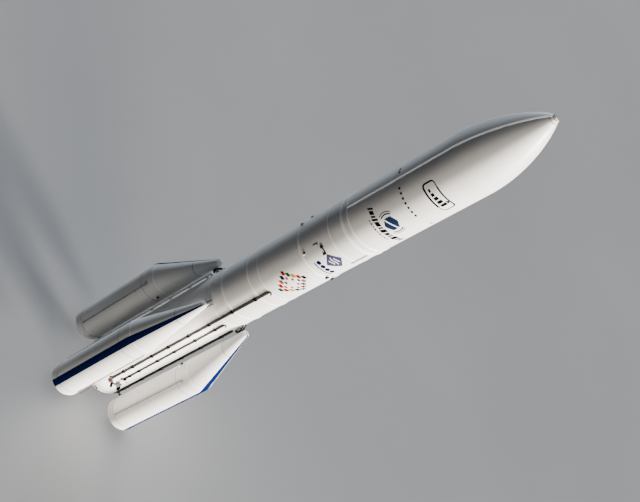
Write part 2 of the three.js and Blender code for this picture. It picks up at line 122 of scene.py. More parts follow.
# Camera: where it stands, seen from the rocket's axis, and how it looks
CAMERA_ANGLE = -122.98
CAMERA_REACH = 88.64
CAMERA_HEIGHT = 117.25
CAMERA_DOWN = 43.05
CAMERA_PAN = -0.087
CAMERA_ROLL = 60.905
CAMERA_FOCUS_PX = 1407.5
IMAGE_WIDTH_PX = 640
# The floor's edges, from the rocket's axis: away from the camera, toward it, and to both sides
FLOOR_FAR = -200.0
FLOOR_NEAR = 24.0
FLOOR_LEFT = 54.0
FLOOR_RIGHT = 70.0


# Mesh making

def grid_part(points, loop=False):
    """Quads between the rows and columns of a grid, whose columns close on themselves. A first or last row
    that is all one point becomes a vertex with a fan. A loop joins the last row to the first."""
    rows, cols = points.shape[:2]
    index = np.arange(rows * cols).reshape(rows, cols)
    pole_low, pole_high = (not loop and bool(np.ptp(points[row], axis=0).max() < TINY) for row in (0, -1))
    body = index[int(pole_low):rows - int(pole_high)]
    low, high = (body, np.roll(body, -1, 0)) if loop else (body[:-1], body[1:])
    quads = np.stack([low, np.roll(low, -1, 1), np.roll(high, -1, 1), high], -1).reshape(-1, 4)
    tris = [np.zeros((0, 3), int)]
    if pole_low:
        tris.append(np.stack([np.full(cols, index[0, 0]), np.roll(index[1], -1), index[1]], -1))
    if pole_high:
        tris.append(np.stack([np.full(cols, index[-1, 0]), index[-2], np.roll(index[-2], -1)], -1))
    return points.reshape(-1, 3), quads, np.concatenate(tris)


def with_ends(grid):
    """The grid between two more rows, which are poles in the middle of its first and last rows."""
    low, high = (np.broadcast_to(row.mean(0), (1, *row.shape)) for row in (grid[0], grid[-1]))
    return np.concatenate([low, grid, high])


def rounded(points, radius, steps=3):
    """A polyline whose inner corners are turned into parabolas: (1-t)^2 A + 2t(1-t) P + t^2 B,
    with A and B on the two edges at the radius from the corner P, or near the edge's middle."""
    p = np.asarray(points, float)
    corner = p[1:-1]
    edges = [p[:-2] - corner, p[2:] - corner]
    lengths = [np.linalg.norm(edge, axis=1) for edge in edges]
    reach = np.minimum(radius, 0.45 * np.minimum(*lengths))
    a, b = (corner + (reach / length)[:, None] * edge for edge, length in zip(edges, lengths))
    t = np.linspace(0, 1, steps + 1)[None, :, None]
    arcs = (1 - t) ** 2 * a[:, None] + 2 * t * (1 - t) * corner[:, None] + t ** 2 * b[:, None]
    return np.concatenate([p[:1], arcs.reshape(-1, p.shape[1]), p[-1:]])


def tangents(path):
    """The path's direction at each of its points, one long."""
    ahead = np.gradient(path, axis=0)
    return ahead / np.linalg.norm(ahead, axis=1, keepdims=True)


def around(count, start=0.0):
    return np.linspace(0, TAU, count, endpoint=False) + math.radians(start)


def swept(radius, angle, height):
    """Grid points of a surface about the axis: x = r cos a, y = r sin a, z, from arrays that broadcast."""
    radius, angle, height = np.broadcast_arrays(radius, angle, height)
    return np.stack([radius * np.cos(angle), radius * np.sin(angle), height], -1)


def turned(profile, sides=CORE_SIDES, loop=False):
    """A surface of revolution: each profile point (r, z) sweeps a circle. A looped profile makes a hoop."""
    profile = np.asarray(profile, float)
    return grid_part(swept(profile[:, :1], around(sides)[None], profile[:, 1:2]), loop)


def hoop(section, soft, sides):
    """A ring from the corners (r, z) of its section, softened but for the first."""
    return turned(rounded([*section, section[0]], soft)[:-1], sides, loop=True)


def half_turned(profile, sides, start):
    """Half a solid of revolution: each section is a half disc, its arc closed through the axis."""
    r, z = profile[:, :1], profile[:, 1:2]
    arc = swept(r, np.radians(start + np.linspace(0, 180, sides))[None], z)
    return grid_part(np.concatenate([arc, swept(0 * r, 0.0, z)], 1))


def slanted(levels, loop=False):
    """Circles that lean: each level (z, c, r) is a circle of radius r about the point x = c at height z."""
    grid = swept(levels[:, 2:], around(BOOSTER_SIDES)[None], levels[:, :1])
    grid[..., 0] += levels[:, 1:2]
    return grid_part(grid, loop)


def piped(path, radius, sides=16):
    """A round pipe in the plane y = 0: a circle square to the path's tangent at each point (x, z)."""
    ahead, a = tangents(path), around(sides)[None]
    x = path[:, :1] + radius * ahead[:, 1:] * np.cos(a)
    z = path[:, 1:] - radius * ahead[:, :1] * np.cos(a)
    return grid_part(with_ends(np.stack(np.broadcast_arrays(x, radius * np.sin(a), z), -1)))


def bar(path, thick, widths):
    """A flat bar in the plane y = 0: at each point (x, z) of its path a rectangle, thick across the path and
    wide along y."""
    half = np.interp(np.linspace(0, 1, len(path)), np.linspace(0, 1, len(widths)), widths) / 2
    across = thick / 2 * tangents(path)[:, ::-1] * [1, -1]
    return grid_part(with_ends(np.stack([np.insert(path + i * across, 1, j * half, axis=1)
                                         for i, j in ((1, 1), (1, -1), (-1, -1), (-1, 1))], 1)))


def rod(start, end, radius):
    """A round rod between two points, its ends slightly rounded."""
    start, end = np.asarray(start, float), np.asarray(end, float)
    length = np.linalg.norm(end - start)
    z = (end - start) / length
    x = np.cross([0, 1, 0] if abs(z[1]) < 0.9 else [1, 0, 0], z)
    x /= np.linalg.norm(x)
    profile = rounded([(0, 0), (radius, 0), (radius, length), (0, length)], 0.2 * radius)
    return moved(turned(profile, 20), shift=start, matrix=np.column_stack([x, np.cross(z, x), z]))


def drawn_in(outline, levels):
    """Grid rows of an outline (x, y): each level (z, s) has it at height z, scaled by s."""
    middle = outline.mean(0)
    return np.stack([np.insert(middle + (outline - middle) * s, 2, z, axis=1) for z, s in levels])


def prism(outline, low, high, edge):
    """An outline (x, y) from one height to another, drawn in at both ends."""
    inset = 1 - edge / np.linalg.norm(outline - outline.mean(0), axis=1).mean()
    levels = [(low, inset), (low + edge, 1), (high - edge, 1), (high, inset)]
    return grid_part(with_ends(drawn_in(outline, levels)))


def rectangle(width, height, corner, steps=3):
    """A rectangle's outline about the origin, its corners rounded."""
    w, h = width / 2, height / 2
    return rounded([(0, -h), (w, -h), (w, h), (-w, h), (-w, -h), (0, -h)], corner, steps)[:-1]


def block(width, depth, height, edge=0.02):
    """A box about the origin, its four long edges rounded and its ends drawn in a little."""
    return prism(rectangle(width, depth, edge), -height / 2, height / 2, edge / 2)


def raised(out, width, height, edge, lift, y=0.0, z=0.0):
    """A box on a wall: its middle is lifted from the wall's face."""
    return moved(block(out, width, height, edge), shift=(lift, y, z))


def moved(part, turn=0.0, shift=(0, 0, 0), matrix=None):
    """A part carried by a 3 by 3 matrix, shifted, then turned about Z by an angle."""
    verts, quads, tris = part
    if matrix is not None:
        verts = verts @ np.asarray(matrix, float).T
    verts = verts + np.asarray(shift, float)
    a = math.radians(turn)
    spin = np.array([[math.cos(a), -math.sin(a), 0], [math.sin(a), math.cos(a), 0], [0, 0, 1]])
    return verts @ spin.T, quads, tris


def on_core(part, angle, height, tilt=0.0):
    """A part set on the core's wall, and tilted there."""
    t = math.radians(tilt)
    lean = [[1, 0, 0], [0, math.cos(t), -math.sin(t)], [0, math.sin(t), math.cos(t)]]
    return moved(moved(part, matrix=lean), angle, (CORE_R, 0, height))


def boss(radius, height, sides=24):
    """A round boss on a wall, its outer edge rounded."""
    profile = [(0, SUNK), (radius, SUNK), (radius, height), (0, height)]
    return moved(turned(rounded(profile, [1e-4, 0.3 * min(height, radius)]), sides), matrix=ON_WALL)


def wall_hoop(inner, outer, height, soft, sides):
    """A round rim on a wall."""
    section = [(inner, SUNK), (outer, SUNK), (outer, height), (inner, height)]
    return moved(hoop(section, soft, sides), matrix=ON_WALL)


def bolt(radius=0.024, height=0.018):
    """A six-sided head on a wall, its outer edge cut."""
    profile = [(0, SUNK), (radius, SUNK), (radius, 0.7 * height), (0.75 * radius, height), (0, height)]
    return moved(turned(profile, 6), matrix=ON_WALL)


def repeated(part, radius, angles, heights):
    """Copies of one part on a round wall: each copy is turned to its angle and set at its height."""
    verts, quads, tris = part
    a, z = (np.ravel(x)[:, None] for x in np.broadcast_arrays(np.radians(angles), heights))
    x, y = verts[:, 0][None] + radius, verts[:, 1][None]
    c, s = np.cos(a), np.sin(a)
    copies = np.stack([x * c - y * s, x * s + y * c, verts[:, 2][None] + z], -1)
    steps = (np.arange(len(copies)) * len(verts))[:, None, None]
    return copies.reshape(-1, 3), (quads[None] + steps).reshape(-1, 4), (tris[None] + steps).reshape(-1, 3)


def laid(points, angle, height):
    """Local points (x, y, h) laid on the core's wall: x runs round it, y up it and h out of it."""
    x, y, out = np.moveaxis(points, -1, 0)
    return swept(CORE_R + out, math.radians(angle) + x / CORE_R, height + y)


def spread(path, width=0.0, closed=False):
    """A path set out anew in equal steps of at most STEP along its length, and its widths with it."""
    path = np.asarray(path, float)
    if closed:
        path = np.concatenate([path, path[:1]])
    along = np.concatenate([[0], np.cumsum(np.linalg.norm(np.diff(path, axis=0), axis=1))])
    even = np.linspace(0, along[-1], max(4, math.ceil(along[-1] / STEP)) + 1)
    even = even[:-1] if closed else even
    points = np.column_stack([np.interp(even, along, path[:, i]) for i in (0, 1)])
    return points, np.interp(even, along, np.broadcast_to(width, len(along)))


def ribbon(path, width, angle, height, top=INK):
    """A flat band painted along a path (x, y) on the wall: half the width to each side of it."""
    path, width = spread(path, width)
    side = tangents(path)[:, ::-1] * [-1, 1] * width[:, None] / 2
    corners = [(path + side, SUNK), (path - side, SUNK), (path - side, top), (path + side, top)]
    grid = np.stack([np.insert(corner, 2, h, axis=1) for corner, h in corners], 1)
    return grid_part(laid(with_ends(grid), angle, height))


def patch(outline, angle, height):
    """A painted shape on the wall: its outline drawn in to its middle in rings, above and below."""
    outline = spread(outline, closed=True)[0]
    reach = np.linalg.norm(outline - outline.mean(0), axis=1).max()
    shares = np.linspace(0, 1, max(2, math.ceil(reach / STEP)) + 1)
    grid = drawn_in(outline, [(INK, s) for s in shares] + [(SUNK, s) for s in shares[::-1]])
    return grid_part(laid(grid, angle, height))


def cover(width, depth, low, high, base, taper):
    """A straight cover along a wall, its inner face at a radius: a rounded section (outward, sideways) swept
    up, drawn in at both ends."""
    section = rectangle(depth, width, 0.35 * depth, 4) + [base + depth / 2, 0]
    base = np.array([base, 0.0])
    levels = [(low, 0.55), (low + 0.2 * taper, 0.85), (low + taper, 1), (high - taper, 1),
              (high - 0.2 * taper, 0.85), (high, 0.55)]
    rows = [np.insert(base + (section - base) * [s, 0.4 + 0.6 * s], 2, z, axis=1) for z, s in levels]
    return grid_part(with_ends(np.stack(rows)))


def outward(part):
    """The part with its faces turned out: the volume under its faces, signed by their winding, tells."""
    verts, quads, tris = part
    faces = np.concatenate([quads[:, [0, 1, 2]], quads[:, [0, 2, 3]], tris])
    a, b, c = (verts[faces[:, i]] for i in range(3))
    if np.einsum("ij,ij->", a, np.cross(b, c)) < 0:
        return verts, quads[:, ::-1], tris[:, ::-1]
    return part


def add(name, data):
    """A new object in the scene."""
    made = bpy.data.objects.new(name, data)
    bpy.context.scene.collection.objects.link(made)
    return made


def make_piece(name, parts, finish, place=(), body="root", replaces=(), band=None):
    """Joins parts, each moved to the place, into one mesh object in the frame's metres, that rides on a body.
    A band is a function of the vertices for the attribute off_band."""
    parts = [outward(moved(part, *place)) for part in parts]
    offsets = np.cumsum([0] + [len(part[0]) for part in parts])
    quads, tris = (np.concatenate([part[i] + offset for part, offset in zip(parts, offsets)]) for i in (1, 2))
    used, index = np.unique(np.concatenate([quads.ravel(), tris.ravel()]), return_inverse=True)
    verts = np.concatenate([part[0] for part in parts])[used]
    faces = index[:quads.size].reshape(-1, 4).tolist() + index[quads.size:].reshape(-1, 3).tolist()
    mesh = bpy.data.meshes.new(name)
    mesh.from_pydata(verts * M, [], faces)
    mesh.shade_smooth()
    mesh.set_sharp_from_angle(angle=math.radians(SHARP))
    if band:
        attribute = mesh.attributes.new("off_band", "FLOAT", "POINT")
        attribute.data.foreach_set("value", band(verts).astype(np.float32))
    piece = add(name, mesh)
    mesh.materials.append(FINISHES[finish])
    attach(piece, body)
    if replaces:
        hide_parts(*replaces)


# Materials

class Finish:
    """A node material, with short calls for the nodes that these finishes share."""

    def __init__(self, name, colour, roughness, metallic=0.0, coat=0.0, specular=0.5):
        self.material = bpy.data.materials.new(name)
        self.material.use_nodes = True
        self.material.diffuse_color = (*colour, 1)
        self.tree = self.material.node_tree
        self.shader = self.tree.nodes["Principled BSDF"]
        values = {"Base Color": colour, "Roughness": roughness, "Metallic": metallic,
                  "Specular IOR Level": specular, "Coat Weight": coat, "Coat Roughness": 0.25}
        for socket, value in values.items():
            self.feed(self.shader.inputs[socket], value)
        self.coordinates = self.node("ShaderNodeTexCoord").outputs["Object"]

    def node(self, kind, **settings):
        """A node with its settings, and an input for each setting that is none."""
        node = self.tree.nodes.new(kind)
        for key, value in settings.items():
            if hasattr(node, key):
                setattr(node, key, value)
            else:
                node.inputs[key].default_value = value
        return node

    def feed(self, socket, value):
        if isinstance(value, bpy.types.NodeSocket):
            self.tree.links.new(value, socket)
        elif isinstance(value, tuple):
            socket.default_value = (*value, 1)
        else:
            socket.default_value = value

    def through(self, source, kind, entry, output, **settings):
        """The output of a new node that takes the source at its entry."""
        node = self.node(kind, **settings)
        self.feed(node.inputs[entry], source)
        return node.outputs[output]

    def noise(self, scale, detail=4.0, stretch=(1, 1, 1)):
        vector = self.through(self.coordinates, "ShaderNodeMapping", "Vector", "Vector", Scale=stretch)
        return self.through(vector, "ShaderNodeTexNoise", "Vector", "Fac", Scale=scale, Detail=detail,
                            Roughness=0.55)

    def ramp(self, source, stops):
        """A ramp from (position, grey or colour) stops."""
        node = self.node("ShaderNodeValToRGB")
        elements = node.color_ramp.elements
        while len(elements) < len(stops):
            elements.new(0.5)
        for element, (position, value) in zip(elements, stops):
            element.position = position
            element.color = (*np.broadcast_to(value, 3), 1)
        self.feed(node.inputs["Fac"], source)
        return node.outputs["Color"]

    def mix(self, share, first, second, mode="MIX"):
        node = self.node("ShaderNodeMix", data_type="RGBA", blend_type=mode)
        for index, value in ((0, share), (6, first), (7, second)):
            self.feed(node.inputs[index], value)
        return node.outputs[2]

    def below(self, value, limit):
        node = self.node("ShaderNodeMath", operation="LESS_THAN")
        self.feed(node.inputs[0], value)
        self.feed(node.inputs[1], limit)
        return node.outputs[0]

    def paint(self, value, socket="Base Color"):
        """Feeds the shader, and returns the finish for the next call."""
        self.feed(self.shader.inputs[socket], value)
        return self

    def rough(self, source, low, high):
        limits = {"To Min": low, "To Max": high}
        gloss = self.through(source, "ShaderNodeMapRange", "Value", "Result", **limits)
        return self.paint(gloss, "Roughness")

    def bump(self, source, strength, distance):
        normal = self.through(source, "ShaderNodeBump", "Height", "Normal", Strength=strength,
                              Distance=distance)
        return self.paint(normal, "Normal")


WHITE = (0.70, 0.688, 0.662)
# Lighter than WHITE. On the core's seam beads, the boosters' rings and the fairing's split rails it is a
# painted highlight, for light caught by their raised edges. On the other pale parts it is their own colour.
PALE_AND_HIGHLIGHT_WHITE = (0.9, 0.895, 0.885)
NAVY = (0.0026, 0.008, 0.052)


def white_paint(name, colour=WHITE, streaks=0.04, bump=0.1, coat=0.1, specular=0.4):
    """Sprayed white paint: cloudy tone, faint runs along the rocket, satin gloss and a fine orange peel."""
    f = Finish(name, colour, 0.42, coat=coat, specular=specular)
    clouds = f.ramp(f.noise(0.55, 5), [(0.3, 0.95), (0.7, 1.0)])
    runs = f.ramp(f.noise(3.0, 6, (1, 1, 0.06)), [(0.35, 1 - streaks), (0.65, 1.0)])
    f.tone = f.mix(1.0, f.mix(1.0, colour, clouds, "MULTIPLY"), runs, "MULTIPLY")
    return f.paint(f.tone).rough(f.noise(7, 4), 0.36, 0.5).bump(f.noise(55, 3), bump, 0.004)


def striped_white(name, colour=WHITE):
    """White paint, navy where the attribute off_band, in half widths from the band's middle, is below 1."""
    f = white_paint(name, colour, coat=0.0, specular=0.0)
    band = f.below(f.node("ShaderNodeAttribute", attribute_name="off_band").outputs["Fac"], 1.0)
    navy = f.mix(1.0, NAVY, f.ramp(f.noise(9, 5), [(0.3, 0.8), (0.45, 1.0)]), "MULTIPLY")
    return f.paint(f.mix(band, f.tone, navy))


def worn(name, dark, light, roughness, grain, metallic=0.0, stretch=(1, 1, 1), bump=0.2, scale=6,
         specular=0.3):
    """A surface between two tones, cloudy, with its own grain and gloss that wanders."""
    f = Finish(name, dark, sum(roughness) / 2, metallic=metallic, specular=specular)
    f.paint(f.ramp(f.noise(scale, 6, stretch), [(0.35, dark), (0.8, light)]))
    return f.rough(f.noise(2 * scale, 4), *roughness).bump(f.noise(grain, 3, stretch), bump, 0.003)


def bell_metal():
    """The engine bell: brown-grey nickel alloy tinted in bands by heat, with fine ribs down its length."""
    f = Finish("engine_bell_metal", (0.30, 0.26, 0.23), 0.4, metallic=0.85)
    bands = f.ramp(f.noise(2.2, 3, (0.15, 0.15, 1.0)),
                   [(0.25, (0.20, 0.155, 0.125)), (0.5, (0.33, 0.29, 0.26)), (0.75, (0.26, 0.235, 0.25))])
    return f.paint(bands).rough(f.noise(12, 5), 0.3, 0.55).bump(f.noise(70, 2, (1, 1, 0.05)), 0.2, 0.002)


def ink(name, colour):
    """Printed colour on the paint: flat ink, a little faded in places."""
    f = Finish(name, colour, 0.5, specular=0.0)
    faded = tuple(0.95 * c + 0.004 for c in colour)
    return f.paint(f.ramp(f.noise(6, 5), [(0.45, colour), (0.95, faded)])).rough(f.noise(9, 3), 0.36, 0.5)


INKS = {
    "black": (0.0015, 0.0015, 0.0017), "navy": (0.0012, 0.0028, 0.028), "slate": (0.035, 0.037, 0.075),
    "blue": (0.006, 0.015, 0.04), "grey": (0.06, 0.062, 0.064), "teal": (0.004, 0.022, 0.024),
    "red": (0.20, 0.003, 0.005), "orange": (0.26, 0.05, 0.004), "yellow": (0.30, 0.15, 0.008),
    "green": (0.003, 0.04, 0.008), "sky": (0.003, 0.032, 0.11),
}
FINISHES = {
    "core": white_paint("core_white_paint"),
    "fairing": white_paint("fairing_white_paint", (0.71, 0.698, 0.674), 0.03, 0.06),
    "booster": striped_white("booster_white_with_navy_band"),
    # booster_ring and seam are paler than the wall: on rings, beads and rails this is a painted highlight.
    "booster_ring": striped_white("booster_ring_painted_highlight_with_navy_band", PALE_AND_HIGHLIGHT_WHITE),
    "booster_joint": striped_white("booster_joint_with_navy_band", (0.33, 0.325, 0.31)),
    "seam": white_paint("pale_paint_and_painted_highlight", PALE_AND_HIGHLIGHT_WHITE, 0.02, 0.05),
    # A white cover painted grey all over: painted shade, for the shading along the raised raceways.
    "grey_cover_painted_shade": white_paint("booster_raceway_white_with_painted_shade", (0.27, 0.265, 0.25), 0.08, 0.2),
    "cover": worn("raceway_dark_cover", (0.003, 0.0025, 0.0022), (0.012, 0.010, 0.0085), (0.5, 0.75), 80, 0.0,
                  (1, 1, 0.25), 0.3, specular=0.1),
    "cable": worn("raceway_brown_cover", (0.011, 0.0098, 0.0083), (0.028, 0.025, 0.021), (0.5, 0.75), 80, 0.0,
                  (1, 1, 0.25), 0.3, specular=0.1),
    "fitting": worn("black_fitting", (0.002, 0.002, 0.0022), (0.010, 0.0097, 0.0094), (0.35, 0.6), 120,
                    specular=0.15),
    "steel": worn("bare_steel", (0.34, 0.33, 0.31), (0.52, 0.51, 0.49), (0.25, 0.5), 160, 0.9, (1, 1, 0.1)),
    "bronze": worn("connector_bronze", (0.02, 0.008, 0.005), (0.13, 0.07, 0.05), (0.35, 0.6), 90, 0.2),
    "putty": worn("connector_putty", (0.05, 0.049, 0.038), (0.12, 0.118, 0.095), (0.4, 0.65), 90),
    "bell": bell_metal(),
    "composite": worn("booster_bell_composite", (0.028, 0.027, 0.028), (0.085, 0.08, 0.076), (0.5, 0.8), 60,
                      0.0, (1, 1, 2.5), 0.3, 5),
    "blanket": worn("base_heat_blanket", (0.26, 0.25, 0.24), (0.48, 0.47, 0.45), (0.65, 0.9), 24, 0.0,
                    (1, 1, 1), 0.4, 3),
    **{key: ink("ink_" + key, colour) for key, colour in INKS.items()},
}
FINISHES = {key: finish.material for key, finish in FINISHES.items()}
SLOTS = {  # colour slot of each finish; the finishes not listed have no slot
    **dict.fromkeys(("core", "fairing", "booster", "booster_ring", "seam", "grey_cover_painted_shade"), "white_paint"),
    **dict.fromkeys(("cover", "cable"), "dark_cover"), **dict.fromkeys(("steel", "bronze"), "steel"),
    "fitting": "dark_fitting", "bell": "nozzle_metal", "composite": "nozzle_composite",
}


# Core

def wall_profile(bottom, top, welds):
    """A straight wall with low weld beads at equal steps, all corners softened."""
    corners = [(0, bottom), (CORE_R, bottom)]
    for z in np.linspace(bottom, top, welds + 2)[1:-1]:
        corners += [(CORE_R, z - 0.05), (CORE_R + 0.005, z), (CORE_R, z + 0.05)]
    return rounded(corners + [(CORE_R, top - CLEAR), (0, top - CLEAR)], 0.02)


def bead(height, width, proud, radius=CORE_R, sides=CORE_SIDES):
    """A soft hoop on the wall: its section rises by proud (1 - s^2)^2 over the width, s from -1 to 1."""
    s = np.linspace(-1, 1, 13)
    face = np.column_stack([radius + proud * (1 - s ** 2) ** 2 + INK, height + s * width / 2])
    back = np.column_stack([[radius - 0.02] * 2, [height + width / 2, height - width / 2]])
    return turned(np.concatenate([face, back]), sides, loop=True)


def skirt_skin(radius, rim, top, sides):
    """A skirt's outside: its cut lower rim, its wall and the lip under its top, closed behind."""
    profile = [(rim - 0.1, 0.02), (rim - 0.1, -0.006), (rim + 0.004, -0.006), (radius + 0.004, 0.045),
               (radius + 0.004, top - 0.13), (radius + 0.019, top - 0.11), (radius + 0.019, top + 0.01),
               (radius - 0.09, top + 0.01), (radius - 0.09, 0.02)]
    return turned(rounded(profile, 0.012), sides, loop=True)


def core():
    for name, (bottom, top, welds) in SECTIONS.items():
        make_piece(name + "_skin", [turned(wall_profile(bottom, top, welds))], "core", replaces=[name])
    make_piece("core_aft_skirt_skin", [skirt_skin(CORE_R, 2.62, 2.6, CORE_SIDES)], "core")
    beads = [bead(z, width, proud) for z, (width, proud) in SEAM_BEADS.items()]
    # The beads' paler paint is a painted highlight, for light caught by their raised lips.
    make_piece("core_seam_beads", beads + [bead(0.22, 0.16, 0.022)], "seam")
    rows = [repeated(bolt(), CORE_R, np.arange(0, 360, 3.0), z + side * (width / 2 + 0.06))
            for z, (width, proud) in SEAM_BEADS.items() for side in (-1, 1)]
    make_piece("core_seam_bolts", rows, "core")


# Fairing

def nose_radius(height):
    """The core's radius times (1 - u^a)^b, where u runs from 0 at the nose's base to 1 at its tip."""
    u = np.clip((height - NOSE_BASE) / (NOSE_TIP - NOSE_BASE), 0, 1)
    return CORE_R * (1 - u ** NOSE_POWERS[0]) ** NOSE_POWERS[1]


def nose_profile(steps=80, cap_steps=14):
    """The nose's curve up to the cap, then an arc that meets it smoothly and closes on the axis."""
    heights = NOSE_BASE + (NOSE_CAP - NOSE_BASE) * np.sin(np.linspace(0, math.pi / 2, steps))
    r = float(nose_radius(NOSE_CAP))
    slope = float(nose_radius(NOSE_CAP + 1e-4) - nose_radius(NOSE_CAP - 1e-4)) / 2e-4
    centre, ball = NOSE_CAP + r * slope, r * math.hypot(1, slope)
    a = np.linspace(math.atan2(-slope, 1), math.pi / 2, cap_steps)[1:]
    cap = np.column_stack([ball * np.cos(a), centre + ball * np.sin(a)])
    cap[-1, 0] = 0
    return np.concatenate([np.column_stack([nose_radius(heights), heights]), cap])


def fairing():
    nose = nose_profile()
    wall = rounded([(0, FAIRING_BASE), (CORE_R, FAIRING_BASE), (CORE_R, NOSE_BASE)], 0.01)
    profile = np.concatenate([wall, nose[1:]])
    splits = (FAIRING_SPLIT, FAIRING_SPLIT + 180)
    for name, start in zip(("fairing_half_a", "fairing_half_b"), splits):
        half = half_turned(profile, CORE_SIDES // 2, start)
        make_piece(name + "_shell", [half], "fairing", replaces=[name])
    # Rails along the split: rows of the profile up to the plugs, one flank long and low, the other steep
    heights = np.linspace(FAIRING_BASE + 0.02, NOSE_BASE, 30)
    rail = np.concatenate([np.column_stack([np.full(30, CORE_R), heights]), nose[1:PLUG_ROW]])
    out, side = np.transpose([(-0.02, -0.16), (0.0, -0.15), (0.066, -0.015), (0.07, 0.0), (0.0, 0.05),
                              (-0.02, 0.06)])
    strip = grid_part(with_ends(np.stack(np.broadcast_arrays(rail[:, :1] + out, side, rail[:, 1:]), -1)))
    # The rails' paler paint is a painted highlight along the split.
    make_piece("fairing_split_rails", [moved(strip, split) for split in splits], "seam")
    seam = bead(NOSE_CAP - 0.02, 0.05, 0.012, float(nose_radius(NOSE_CAP)) + 0.004, 96)
    make_piece("nose_cap_seam", [seam], "grey")
    # Six plugs in a ring on the cap, from the split round, each square to the wall under it
    (plug_r, plug_z), (above_r, above_z) = nose[PLUG_ROW], nose[PLUG_ROW + 1]
    tilt = math.atan2(plug_r - above_r, above_z - plug_z)
    lean = [[math.cos(tilt), 0, -math.sin(tilt)], [0, 1, 0], [math.sin(tilt), 0, math.cos(tilt)]]
    plug = moved(boss(0.045, 0.018, 20), matrix=lean)
    plugs = repeated(plug, plug_r, FAIRING_SPLIT + 60 * np.arange(6), plug_z)
    make_piece("nose_cap_plugs", [plugs], "black")
    # Vents in the fairing wall: a rim and a dark grille each
    rim = wall_hoop(0.075, 0.115, 0.016, 0.01, 24)
    for name, finish, part in (("rims", "grey", rim), ("grilles", "black", boss(0.085, 0.006))):
        make_piece("fairing_vent_" + name, [repeated(part, CORE_R, VENT_ANGLES, VENT_HEIGHT)], finish)


# Boosters

def cone_level(share):
    """(z, centre, radius) at a share of the way from the kink to the tip's rounding."""
    base = np.array([BOOSTER_KINK + CLEAR, 0, BOOSTER_R])
    top = np.array([BOOSTER_TIP - BOOSTER_TIP_ROUND, BOOSTER_TIP_AXIS - BOOSTER_AXIS, BOOSTER_TIP_R])
    return base + (top - base) * share


def booster_cone_levels():
    """The nose cone's circles: centres and radii run straight from the kink to the tip, then a round end."""
    body = np.array([cone_level(0) * [1, 1, 0], *(cone_level(share) for share in np.linspace(0, 1, 9))])
    a = np.linspace(0, math.pi / 2, 10)[1:]
    cap = np.column_stack([cone_level(1)[0] + BOOSTER_TIP_ROUND * np.sin(a), np.full(9, cone_level(1)[1]),
                           BOOSTER_TIP_R * np.cos(a)])
    cap[-1, 2] = 0
    return np.concatenate([body, cap])


def cone_ring(share, width, proud):
    """A hoop round the nose cone at a share of its height: its section rises by proud (1 - s^2)^2."""
    face = [(s, proud * (1 - s * s) ** 2 + INK) for s in np.linspace(-1, 1, 9)]
    levels = [cone_level(share + width * s / 2) + [0, 0, out] for s, out in (*face, (1, -0.02), (-1, -0.02))]
    return slanted(np.array(levels), loop=True)


def off_band(number):
    """A function that tells how far each vertex is, round the booster's own axis, from the middle of its navy
    band, in half widths."""
    a, (middle, half) = math.radians(BOOSTER_ANGLES[number]), NAVY_BANDS[number]
    levels = booster_cone_levels()

    def value(verts):
        out = verts[:, 0] * math.cos(a) + verts[:, 1] * math.sin(a) - BOOSTER_AXIS
        side = -verts[:, 0] * math.sin(a) + verts[:, 1] * math.cos(a)
        centre = np.interp(verts[:, 2], levels[1:, 0], levels[1:, 1])
        off = np.degrees(np.arctan2(side, out - centre)) - middle
        return np.abs((off + 180) % 360 - 180) / half
    return value


def on_booster(part, around_it, height=0.0):
    """A part set on a booster's wall, at an angle round it from its outboard side."""
    return moved(part, around_it, (BOOSTER_R, 0, height))


def booster(name, place, band):
    """A booster's pieces, named from its name: its shells with the band, its raceways and round fittings."""
    def piece(suffix, finish, *parts, replaces=()):
        make_piece(name + suffix, parts, finish, place, replaces=replaces, band=band)

    case = [(1.0, 0, 0), (1.0, 0, BOOSTER_R), (BOOSTER_KINK, 0, BOOSTER_R), (BOOSTER_KINK, 0, 0)]
    piece("case_shell", "booster", slanted(rounded(case, 0.02)), replaces=[name + "case"])
    piece("nose_shell", "booster", slanted(booster_cone_levels()), replaces=[name + "nose_cone"])
    piece("aft_skirt_skin", "booster", skirt_skin(BOOSTER_R, 1.64, 1.0, BOOSTER_SIDES))
    # The rings' paler paint is a painted highlight, for light caught by their raised lips.
    piece("seam_rings", "booster_ring", bead(0.2, 0.12, 0.02, BOOSTER_R, BOOSTER_SIDES),
          cone_ring(0.06, 0.016, 0.016))
    lines = [bead(z, 0.07, 0.004, BOOSTER_R, BOOSTER_SIDES) for z in (1.04, 12.15)]
    piece("joint_lines", "booster_joint", *lines, cone_ring(0.663, 0.01, 0.006))
    piece("seam_bolts", "booster", *(repeated(bolt(0.02, 0.014), BOOSTER_R, np.arange(0, 360, 6.0), z)
                                     for z in (0.33, 0.82, 1.12, 12.02, 12.28, 13.36)))
    # Cable raceways on both flanks, each with clamps and a hook at its upper end, grey as painted shade
    line, clamp = cover(0.13, 0.07, 1.2, 13.1, 0.012, 0.25), raised(0.1, 0.22, 0.09, 0.02, 0.045)
    bend = rounded([(0, 0), (0, 0.16), (0.2, 0.16), (0.2, -0.05)], 0.12, 6)
    hook = moved(piped(bend, 0.045), matrix=SIDEWAYS)
    parts = []
    for flank in (-1, 1):
        mirrored = moved(hook, shift=(0.05, 0, 0), matrix=np.diag([1, -flank, 1]))
        row = [(line, 0), *((clamp, z) for z in np.arange(1.5, 13, 1.9)), (mirrored, 13.0)]
        parts += [on_booster(part, flank * RACEWAY_FLANK, z) for part, z in row]
    make_piece(name + "raceways", parts, "grey_cover_painted_shade", place)
    # Round fittings near the kink
    dome = [(0.14 * math.cos(t), 0.1 + 0.12 * math.sin(t)) for t in np.linspace(-0.4, 1.4, 8)]
    knob = moved(turned([(0, 0.05), *dome, (0, 0.22)], 24), matrix=ON_WALL)
    for suffix, finish, part, away, z in (("cups", "seam", boss(0.17, 0.12), 143.5, 12.64),
                                          ("knobs", "fitting", knob, 147.0, 13.02)):
        make_piece(name + suffix, [on_booster(part, flank * away, z) for flank in (-1, 1)], finish, place)


